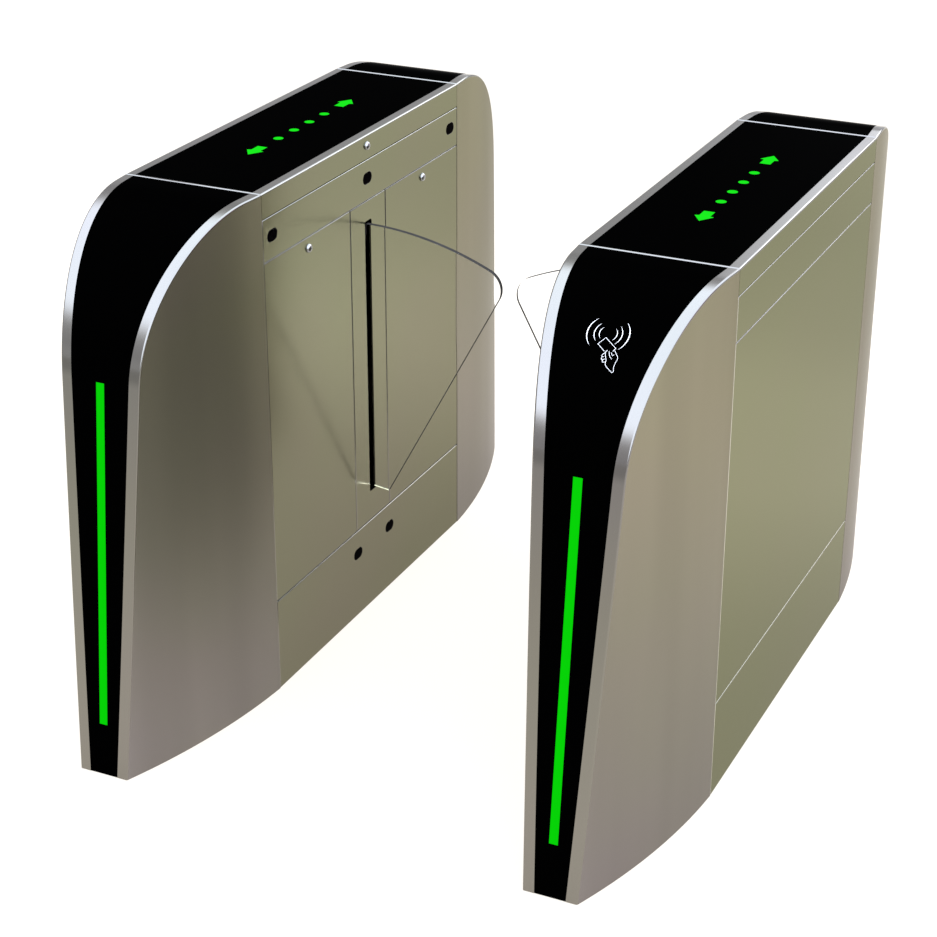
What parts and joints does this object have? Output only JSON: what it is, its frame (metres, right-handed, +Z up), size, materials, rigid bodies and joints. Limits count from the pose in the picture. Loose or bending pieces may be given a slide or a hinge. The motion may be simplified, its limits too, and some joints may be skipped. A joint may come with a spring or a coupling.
{
  "type": "flap barrier turnstile",
  "caption": "Pair of steel lane cabinets with curved tapered ends, clear swinging flaps, sensors, lights and a card reader.",
  "frame": {"origin": "on the floor, midway between the two cabinets and midway along them", "axes": "+X across the lane from the left cabinet to the right one, +Y along the lane away from the picture's camera, +Z up"},
  "size_m": [1.16, 1.6048, 1],
  "materials": {
    "brushed_steel": "brushed stainless sheet, polished trims",
    "frame_steel": "dark grey painted steel",
    "black_gloss": "black gloss acrylic",
    "green_light": "lit green diffuser",
    "sensor_black": "dark infrared window",
    "clear_sheet": "clear acrylic, 10 mm",
    "machined": "machined steel",
    "chrome": "chrome plated lock",
    "motor_black": "black painted case",
    "rubber": "black rubber",
    "case_grey": "light grey case"
  },
  "bodies": {
    "frame": {"left_base_frame": "frame_steel", "left_front_shell": "brushed_steel", "left_rear_shell": "brushed_steel", "left_front_strip": "black_gloss", "left_rear_strip": "black_gloss", "left_front_light": "green_light", "left_rear_light": "green_light", "left_sensor_band": "brushed_steel", "left_base_band": "brushed_steel", "left_slot_panel": "brushed_steel", "left_outer_panel": "brushed_steel", "left_upper_sensors": "sensor_black", "left_lower_sensors": "sensor_black", "left_gearmotor": "motor_black", "left_drive_bracket": "frame_steel", "left_stop_buffer": "rubber", "left_controller": "case_grey", "left_card_reader": "motor_black", "right_base_frame": "frame_steel", "right_rear_shell": "brushed_steel", "right_front_shell": "brushed_steel", "right_rear_strip": "black_gloss", "right_front_strip": "black_gloss", "right_rear_light": "green_light", "right_front_light": "green_light", "right_sensor_band": "brushed_steel", "right_base_band": "brushed_steel", "right_slot_panel": "brushed_steel", "right_outer_panel": "brushed_steel", "right_upper_sensors": "sensor_black", "right_lower_sensors": "sensor_black", "right_gearmotor": "motor_black", "right_drive_bracket": "frame_steel", "right_stop_buffer": "rubber", "right_controller": "case_grey", "right_card_reader": "motor_black"},
    "left_flap": {"left_flap": "clear_sheet", "left_flap_arm": "machined"},
    "left_crank": {"left_motor_crank": "machined"},
    "left_link": {"left_drive_link": "machined"},
    "left_lid": {"left_lid_shell": "brushed_steel", "left_lid_panel": "black_gloss", "left_lid_lights": "green_light"},
    "left_lid_lock": {"left_lid_lock": "chrome"},
    "left_front_door": {"left_front_door": "brushed_steel"},
    "left_front_door_lock": {"left_front_door_lock": "chrome"},
    "left_rear_door": {"left_rear_door": "brushed_steel"},
    "left_rear_door_lock": {"left_rear_door_lock": "chrome"},
    "right_flap": {"right_flap": "clear_sheet", "right_flap_arm": "machined"},
    "right_crank": {"right_motor_crank": "machined"},
    "right_link": {"right_drive_link": "machined"},
    "right_lid": {"right_lid_shell": "brushed_steel", "right_lid_panel": "black_gloss", "right_lid_lights": "green_light"},
    "right_lid_lock": {"right_lid_lock": "chrome"},
    "right_rear_door": {"right_rear_door": "brushed_steel"},
    "right_rear_door_lock": {"right_rear_door_lock": "chrome"},
    "right_front_door": {"right_front_door": "brushed_steel"},
    "right_front_door_lock": {"right_front_door_lock": "chrome"}
  },
  "joints": [
    {"name": "left_flap_swing", "type": "hinge", "parent": "frame", "child": "left_flap", "pos_m": [-0.334, 0, 0.09], "axis": [0, -1, 0], "range_deg": [0, 21]},
    {"name": "left_crank_turn", "type": "hinge", "parent": "frame", "child": "left_crank", "pos_m": [-0.474, 0, 0.09], "axis": [0, -1, 0], "range_deg": [0, 21]},
    {"name": "left_link_turn", "type": "hinge", "parent": "left_crank", "child": "left_link", "pos_m": [-0.48502, 0, 0.05155], "axis": [0, -1, 0], "range_deg": [-21, 0]},
    {"name": "left_lid_lift", "type": "hinge", "parent": "frame", "child": "left_lid", "pos_m": [-0.576, 0, 0.957], "axis": [0, -1, 0], "range_deg": [0, 75]},
    {"name": "left_lid_lock_turn", "type": "hinge", "parent": "left_lid", "child": "left_lid_lock", "pos_m": [-0.3, 0, 0.979], "axis": [-1, 0, 0], "range_deg": [0, 90]},
    {"name": "left_front_door_tilt", "type": "hinge", "parent": "frame", "child": "left_front_door", "pos_m": [-0.304, -0.07375, 0.196], "axis": [0, 1, 0], "range_deg": [0, 25]},
    {"name": "left_front_door_lock_turn", "type": "hinge", "parent": "left_front_door", "child": "left_front_door_lock", "pos_m": [-0.3, -0.23638, 0.849], "axis": [-1, 0, 0], "range_deg": [0, 90]},
    {"name": "left_rear_door_tilt", "type": "hinge", "parent": "frame", "child": "left_rear_door", "pos_m": [-0.304, 0.07375, 0.196], "axis": [0, 1, 0], "range_deg": [0, 25]},
    {"name": "left_rear_door_lock_turn", "type": "hinge", "parent": "left_rear_door", "child": "left_rear_door_lock", "pos_m": [-0.3, 0.23638, 0.849], "axis": [1, 0, 0], "range_deg": [0, 90]},
    {"name": "right_flap_swing", "type": "hinge", "parent": "frame", "child": "right_flap", "pos_m": [0.334, 0, 0.09], "axis": [0, 1, 0], "range_deg": [0, 21]},
    {"name": "right_crank_turn", "type": "hinge", "parent": "frame", "child": "right_crank", "pos_m": [0.474, 0, 0.09], "axis": [0, 1, 0], "range_deg": [0, 21]},
    {"name": "right_link_turn", "type": "hinge", "parent": "right_crank", "child": "right_link", "pos_m": [0.48502, 0, 0.05155], "axis": [0, 1, 0], "range_deg": [-21, 0]},
    {"name": "right_lid_lift", "type": "hinge", "parent": "frame", "child": "right_lid", "pos_m": [0.576, 0, 0.957], "axis": [0, 1, 0], "range_deg": [0, 75]},
    {"name": "right_lid_lock_turn", "type": "hinge", "parent": "right_lid", "child": "right_lid_lock", "pos_m": [0.3, 0, 0.979], "axis": [1, 0, 0], "range_deg": [0, 90]},
    {"name": "right_rear_door_tilt", "type": "hinge", "parent": "frame", "child": "right_rear_door", "pos_m": [0.304, 0.07375, 0.196], "axis": [0, -1, 0], "range_deg": [0, 25]},
    {"name": "right_rear_door_lock_turn", "type": "hinge", "parent": "right_rear_door", "child": "right_rear_door_lock", "pos_m": [0.3, 0.23638, 0.849], "axis": [1, 0, 0], "range_deg": [0, 90]},
    {"name": "right_front_door_tilt", "type": "hinge", "parent": "frame", "child": "right_front_door", "pos_m": [0.304, -0.07375, 0.196], "axis": [0, -1, 0], "range_deg": [0, 25]},
    {"name": "right_front_door_lock_turn", "type": "hinge", "parent": "right_front_door", "child": "right_front_door_lock", "pos_m": [0.3, -0.23638, 0.849], "axis": [-1, 0, 0], "range_deg": [0, 90]}
  ],
  "couplings": [
    {"joint": "left_crank_turn", "follows": "left_flap_swing", "ratio": 1},
    {"joint": "left_link_turn", "follows": "left_flap_swing", "ratio": -1},
    {"joint": "right_crank_turn", "follows": "right_flap_swing", "ratio": 1},
    {"joint": "right_link_turn", "follows": "right_flap_swing", "ratio": -1}
  ]
}
